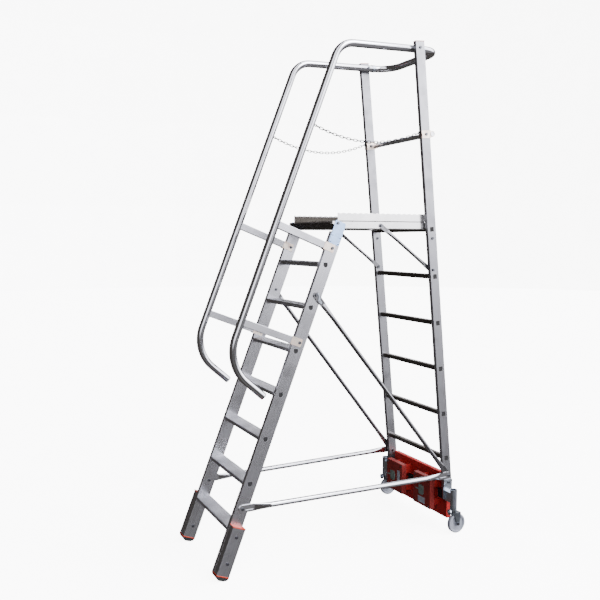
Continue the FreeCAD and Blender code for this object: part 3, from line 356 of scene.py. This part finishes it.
def add_piece(name, bm, material, body, bevel=0.0):
    """Makes a piece from a bmesh, gives it a material and rides it on a body."""
    mesh = bpy.data.meshes.new(name)
    bm.to_mesh(mesh)
    bm.free()
    mesh.materials.append(material)
    piece = bpy.data.objects.new(name, mesh)
    bpy.context.scene.collection.objects.link(piece)
    if bevel > 0.0:
        modifier = piece.modifiers.new("edges", "BEVEL")
        modifier.width = bevel
        modifier.segments = 2
        modifier.limit_method = "ANGLE"
    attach(piece, body)


def add_block(bm, low, high):
    """A box between two corners."""
    low, high = Vector(low), Vector(high)
    made = bmesh.ops.create_cube(bm, size=1.0)["verts"]
    size = high - low
    for vert in made:
        vert.co = Vector([low[i] + (vert.co[i] + 0.5) * size[i] for i in range(3)])


def add_prism(bm, outline, near, far, place):
    """An outline of points of two numbers, made solid between two depths by a placing function."""
    rings = []
    for depth in (near, far):
        rings.append([bm.verts.new(place(a, b, depth)) for a, b in outline])
    count = len(outline)
    bm.faces.new(rings[0])
    bm.faces.new(list(reversed(rings[1])))
    for index in range(count):
        after = (index + 1) % count
        bm.faces.new((rings[0][after], rings[0][index], rings[1][index], rings[1][after]))
    bmesh.ops.recalc_face_normals(bm, faces=bm.faces)


def rounded(low, high, radii, steps=5):
    """A rectangle's outline with its own radius at each corner, from the low corner round."""
    corners = [(low[0], low[1]), (high[0], low[1]), (high[0], high[1]), (low[0], high[1])]
    inward = [(1, 1), (-1, 1), (-1, -1), (1, -1)]
    outline = []
    for index, ((x, z), (dx, dz), radius) in enumerate(zip(corners, inward, radii)):
        centre = (x + dx * radius, z + dz * radius)
        start = math.pi + index * math.pi / 2.0
        for step in range(steps + 1):
            turn = start + step / steps * math.pi / 2.0
            outline.append((centre[0] + radius * math.cos(turn), centre[1] + radius * math.sin(turn)))
    return outline


def ballast_details():
    """The grips, plain labels and corner screws on the fronts of the ballast blocks."""
    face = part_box("ballast_blocks")[0].y
    grips = bmesh.new()
    labels = bmesh.new()
    screws = bmesh.new()

    def on_face(x, z, depth):
        return Vector((x, face - depth, z))

    def add_plate(bm, corners, shift, radii, depth):
        (x_low, z_low), (x_high, z_high) = corners
        outline = rounded((x_low + shift, z_low), (x_high + shift, z_high), radii)
        add_prism(bm, outline, 0.0, depth, on_face)

    for shift in (GRIP_SHIFT, 0.0):
        add_plate(grips, GRIP_PLATE, shift, GRIP_PLATE_RADII, GRIP_PLATE_DEPTH)
        add_plate(grips, GRIP_TAB, shift, SMALL_RADII, GRIP_TAB_DEPTH)
    for corners in LABELS:
        add_plate(labels, corners, 0.0, SMALL_RADII, LABEL_DEPTH)
    for centre in BLOCK_CENTRES:
        for dx in (-SCREW_SPREAD, SCREW_SPREAD):
            for z in SCREW_HEIGHTS:
                turns = [2.0 * math.pi * index / SCREW_SIDES for index in range(SCREW_SIDES)]
                outline = [(centre + dx + SCREW_RADIUS * math.cos(turn), z + SCREW_RADIUS * math.sin(turn))
                           for turn in turns]
                add_prism(screws, outline, 0.0, SCREW_HEAD, on_face)
    add_piece("ballast_grips", grips, GREEN_INSET, ROOT, 0.0012)
    add_piece("ballast_labels", labels, LABEL, ROOT)
    add_piece("ballast_screws", screws, DARK_ZINC, ROOT, 0.0008)


def lozenges(bm, corner, along, up, size, pitch, reach):
    """Staggered rows of small raised diamonds on a flat panel that starts at a corner."""
    along, up = Vector(along).normalized(), Vector(up).normalized()
    normal = along.cross(up)
    columns, rows = int(size[0] / pitch[0]), int(size[1] / pitch[1])
    for row in range(rows):
        for column in range(columns):
            a = (column + 0.5 + 0.5 * (row % 2)) * pitch[0]
            b = (row + 0.5) * pitch[1]
            if a > size[0] - reach[0]:
                continue
            middle = Vector(corner) + along * a + up * b
            tips = [along * reach[0], up * reach[1], along * -reach[0], up * -reach[1]]
            base = [bm.verts.new(middle + tip) for tip in tips]
            peak = [bm.verts.new(middle + tip * DIAMOND_TOP + normal * reach[2]) for tip in tips]
            bm.faces.new(peak)
            for index in range(4):
                after = (index + 1) % 4
                bm.faces.new((base[index], base[after], peak[after], peak[index]))


def platform_pattern():
    """The chequer pattern pressed into the toe boards and the nosing, coloured near-black as painted shade,
    on linings that paint shade on the toe boards' inner faces.
    """
    low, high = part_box("toe_boards")
    deck_low, deck_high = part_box("platform_deck")
    inner = high.x - TOE_PLATE
    panel = bmesh.new()
    for side in (-1.0, 1.0):
        xs = sorted((side * inner, side * (inner - LINING)))
        add_block(panel, (xs[0], low.y + 0.002, deck_high.z), (xs[1], high.y - 0.002, high.z - 0.006))
        corner = (side * (inner - LINING), low.y if side < 0 else high.y, deck_high.z + 0.001)
        lozenges(panel, corner, (0.0, -side, 0.0), (0.0, 0.0, 1.0),
                 (high.y - low.y, TOE_PATTERN_HEIGHT), TOE_PITCH, TOE_DIAMOND)
    add_piece("toe_board_painted_shade", panel, SHADOW_STEEL, ROOT)
    nose = bmesh.new()
    top = Vector((NOSE_HALF_WIDTH, deck_low.y + NOSE_TOP[0], deck_low.z + NOSE_TOP[1]))
    foot = Vector((NOSE_HALF_WIDTH, deck_low.y + NOSE_FOOT[0], deck_low.z + NOSE_FOOT[1]))
    lozenges(nose, foot, (-1.0, 0.0, 0.0), top - foot,
             (2.0 * NOSE_HALF_WIDTH, (top - foot).length), NOSE_PITCH, NOSE_DIAMOND)
    add_piece("nosing_pattern_painted_shade", nose, SHADOW_STEEL, ROOT)


def window_shade_panels():
    """Dark panels just inside the beam's three windows, which paint the shade inside the hollow beam."""
    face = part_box("rear_beam")[0].y
    panels = bmesh.new()
    for near, far in WINDOWS:
        add_block(panels, (near, face + PANEL_DEPTHS[0], PANEL_HEIGHTS[0]),
                  (far, face + PANEL_DEPTHS[1], PANEL_HEIGHTS[1]))
        add_block(panels, (far - RIB_FROM_END[0], face + RIB_DEPTHS[0], RIB_HEIGHTS[0]),
                  (far - RIB_FROM_END[1], face + RIB_DEPTHS[1], RIB_HEIGHTS[1]))
    add_piece("window_shade_panels", panels, WINDOW_SHADE, ROOT)


def groove_shade_strips():
    """The dark strip in the groove at the foot of each toe board, painted shadow of the groove."""
    low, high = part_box("toe_boards")
    strips = bmesh.new()
    for side in (-1.0, 1.0):
        xs = sorted(side * (high.x - depth) for depth in GROOVE_SHADE_DEPTHS)
        add_block(strips, (xs[0], low.y + GROOVE_SHADE_END, low.z + GROOVE_SHADE_HEIGHTS[0]),
                  (xs[1], high.y - GROOVE_SHADE_END, low.z + GROOVE_SHADE_HEIGHTS[1]))
    add_piece("toe_board_groove_shade", strips, GROOVE_SHADE, ROOT)


ballast_details()
platform_pattern()
window_shade_panels()
groove_shade_strips()


# ---------------------------------------------------------------- floor, light and camera

def stage_object(name, bm):
    """A pale part of the set. Only the camera sees it, so it adds nothing to the metal's reflections."""
    mesh = bpy.data.meshes.new(name)
    bm.to_mesh(mesh)
    bm.free()
    shader = Shader(name, 0.0, 0.95)
    cloud = shader.noise(shader.coords, 2.0)
    tint = shader.ramp(cloud, [(0.3, (0.90, 0.90, 0.90)), (0.7, (0.93, 0.93, 0.93))])
    shader.colour(tint)
    shader.link(tint, shader.bsdf.inputs["Emission Color"])
    shader.bsdf.inputs["Emission Strength"].default_value = BACKDROP_GLOW
    mesh.materials.append(shader.material)
    piece = bpy.data.objects.new(name, mesh)
    bpy.context.scene.collection.objects.link(piece)
    piece.visible_glossy = False
    piece.visible_diffuse = False
    piece.visible_shadow = False


def stage():
    floor = bmesh.new()
    bmesh.ops.create_grid(floor, x_segments=1, y_segments=1, size=FLOOR_REACH)
    stage_object("floor", floor)
    dome = bmesh.new()
    bmesh.ops.create_uvsphere(dome, u_segments=48, v_segments=24, radius=DOME_RADIUS)
    stage_object("backdrop", dome)


def key_light():
    """A square soft light high up on the right, a little towards the back."""
    data = bpy.data.lights.new("key", "AREA")
    data.shape = "SQUARE"
    data.size = KEY_SIDE
    data.energy = KEY_POWER
    light = bpy.data.objects.new("key", data)
    light.location = KEY_PLACE
    light.rotation_euler = (Vector(KEY_TARGET) - Vector(KEY_PLACE)).to_track_quat("-Z", "Y").to_euler()
    bpy.context.scene.collection.objects.link(light)


def world_light():
    """A studio seen in reflections: bright walls above the horizon, dark between them and below."""
    world = bpy.data.worlds.new("studio")
    bpy.context.scene.world = world
    world.use_nodes = True
    tree = world.node_tree
    direction = tree.nodes.new("ShaderNodeTexCoord").outputs["Generated"]

    def vector_math(operation, first, second, result="Vector"):
        node = tree.nodes.new("ShaderNodeVectorMath")
        node.operation = operation
        tree.links.new(first, node.inputs[0])
        if second is not None:
            node.inputs[1].default_value = second
        return node.outputs[result]

    def smooth(value, low, high, to_low, to_high):
        node = tree.nodes.new("ShaderNodeMapRange")
        node.interpolation_type = "SMOOTHSTEP"
        for socket, number in zip(("From Min", "From Max", "To Min", "To Max"), (low, high, to_low, to_high)):
            node.inputs[socket].default_value = number
        tree.links.new(value, node.inputs["Value"])
        return node.outputs["Result"]

    def combine(operation, first, second):
        node = tree.nodes.new("ShaderNodeMath")
        node.operation = operation
        tree.links.new(first, node.inputs[0])
        tree.links.new(second, node.inputs[1])
        return node.outputs["Value"]

    level = vector_math("NORMALIZE", vector_math("MULTIPLY", direction, (1.0, 1.0, 0.0)), None)
    height = vector_math("DOT_PRODUCT", direction, (0.0, 0.0, 1.0), "Value")
    around = None
    for turn, inner, outer, power in WALLS:
        way = (math.cos(math.radians(turn)), math.sin(math.radians(turn)), 0.0)
        near = vector_math("DOT_PRODUCT", level, way, "Value")
        wall = smooth(near, math.cos(math.radians(outer)), math.cos(math.radians(inner)), 0.0, power)
        around = wall if around is None else combine("ADD", around, wall)
    lit = combine("MULTIPLY", around, smooth(height, HORIZON[0], HORIZON[1], HORIZON[2], 1.0))
    way, low, high, power = SOFT_BOX
    near = vector_math("DOT_PRODUCT", direction, Vector(way).normalized(), "Value")
    lit = combine("ADD", lit, smooth(near, low, high, 0.0, power))
    tint = tree.nodes.new("ShaderNodeCombineXYZ")
    for socket in tint.inputs:
        tree.links.new(lit, socket)
    cool = vector_math("MULTIPLY", tint.outputs["Vector"], STUDIO_TINT)
    total = vector_math("ADD", cool, DARK_SIDE)
    background = tree.nodes["Background"]
    tree.links.new(total, background.inputs["Color"])
    background.inputs["Strength"].default_value = 1.0


def camera():
    data = bpy.data.cameras.new("camera")
    data.lens = CAMERA_LENS
    data.sensor_width = 36.0
    view = bpy.data.objects.new("camera", data)
    view.location = CAMERA_PLACE
    view.rotation_euler = (math.radians(90.0 - CAMERA_DIP), 0.0, math.radians(CAMERA_TURN))
    bpy.context.scene.collection.objects.link(view)
    bpy.context.scene.camera = view


stage()
world_light()
key_light()
camera()
